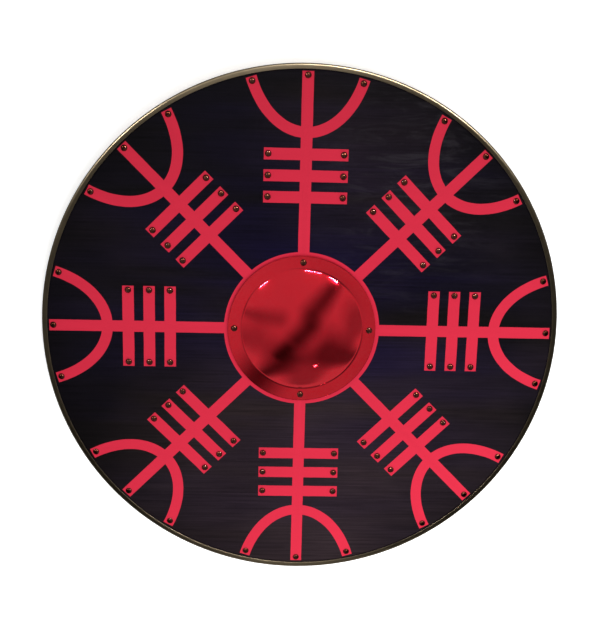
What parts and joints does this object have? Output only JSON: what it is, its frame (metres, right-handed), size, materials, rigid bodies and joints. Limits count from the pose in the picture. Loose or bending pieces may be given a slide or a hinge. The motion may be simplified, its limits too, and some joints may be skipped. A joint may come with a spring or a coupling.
{
  "type": "round wooden shield",
  "caption": "Round flat wooden shield with a steel rim, domed metal boss, hand grip, dome-headed nails and a painted eight-armed stave.",
  "frame": {"origin": "on the shield's axis, at the underside of the rim that it lies on", "axes": "+Z out of the painted face, +Y towards the arm of the stave that is at the top in the picture, +X to the right"},
  "size_m": [0.61, 0.61, 0.0368],
  "materials": {
    "painted_board": "satin blue-black paint over fine wood grain, with a flat red painted stave",
    "rim_steel": "dull grey-olive steel channel, lightly brushed",
    "red_boss": "glossy translucent red lacquer over bright spun metal",
    "grip_wood": "plain oiled wood",
    "nail_brass": "darkened brass, polished on top"
  },
  "bodies": {
    "root": {"board": "painted_board", "rim": "rim_steel", "boss": "red_boss", "grip": "grip_wood", "boss_nail_1": "nail_brass", "boss_nail_2": "nail_brass", "boss_nail_3": "nail_brass", "boss_nail_4": "nail_brass", "arm_1_bar_1_nail_left": "nail_brass", "arm_1_bar_1_nail_right": "nail_brass", "arm_1_bar_2_nail_left": "nail_brass", "arm_1_bar_2_nail_right": "nail_brass", "arm_1_bar_3_nail_left": "nail_brass", "arm_1_bar_3_nail_right": "nail_brass", "arm_2_bar_1_nail_left": "nail_brass", "arm_2_bar_1_nail_right": "nail_brass", "arm_2_bar_2_nail_left": "nail_brass", "arm_2_bar_2_nail_right": "nail_brass", "arm_2_bar_3_nail_left": "nail_brass", "arm_2_bar_3_nail_right": "nail_brass", "arm_3_bar_1_nail_left": "nail_brass", "arm_3_bar_1_nail_right": "nail_brass", "arm_3_bar_2_nail_left": "nail_brass", "arm_3_bar_2_nail_right": "nail_brass", "arm_3_bar_3_nail_left": "nail_brass", "arm_3_bar_3_nail_right": "nail_brass", "arm_4_bar_1_nail_left": "nail_brass", "arm_4_bar_1_nail_right": "nail_brass", "arm_4_bar_2_nail_left": "nail_brass", "arm_4_bar_2_nail_right": "nail_brass", "arm_4_bar_3_nail_left": "nail_brass", "arm_4_bar_3_nail_right": "nail_brass", "arm_5_bar_1_nail_left": "nail_brass", "arm_5_bar_1_nail_right": "nail_brass", "arm_5_bar_2_nail_left": "nail_brass", "arm_5_bar_2_nail_right": "nail_brass", "arm_5_bar_3_nail_left": "nail_brass", "arm_5_bar_3_nail_right": "nail_brass", "arm_6_bar_1_nail_left": "nail_brass", "arm_6_bar_1_nail_right": "nail_brass", "arm_6_bar_2_nail_left": "nail_brass", "arm_6_bar_2_nail_right": "nail_brass", "arm_6_bar_3_nail_left": "nail_brass", "arm_6_bar_3_nail_right": "nail_brass", "arm_7_bar_1_nail_left": "nail_brass", "arm_7_bar_1_nail_right": "nail_brass", "arm_7_bar_2_nail_left": "nail_brass", "arm_7_bar_2_nail_right": "nail_brass", "arm_7_bar_3_nail_left": "nail_brass", "arm_7_bar_3_nail_right": "nail_brass", "arm_8_bar_1_nail_left": "nail_brass", "arm_8_bar_1_nail_right": "nail_brass", "arm_8_bar_2_nail_left": "nail_brass", "arm_8_bar_2_nail_right": "nail_brass", "arm_8_bar_3_nail_left": "nail_brass", "arm_8_bar_3_nail_right": "nail_brass"}
  },
  "joints": []
}
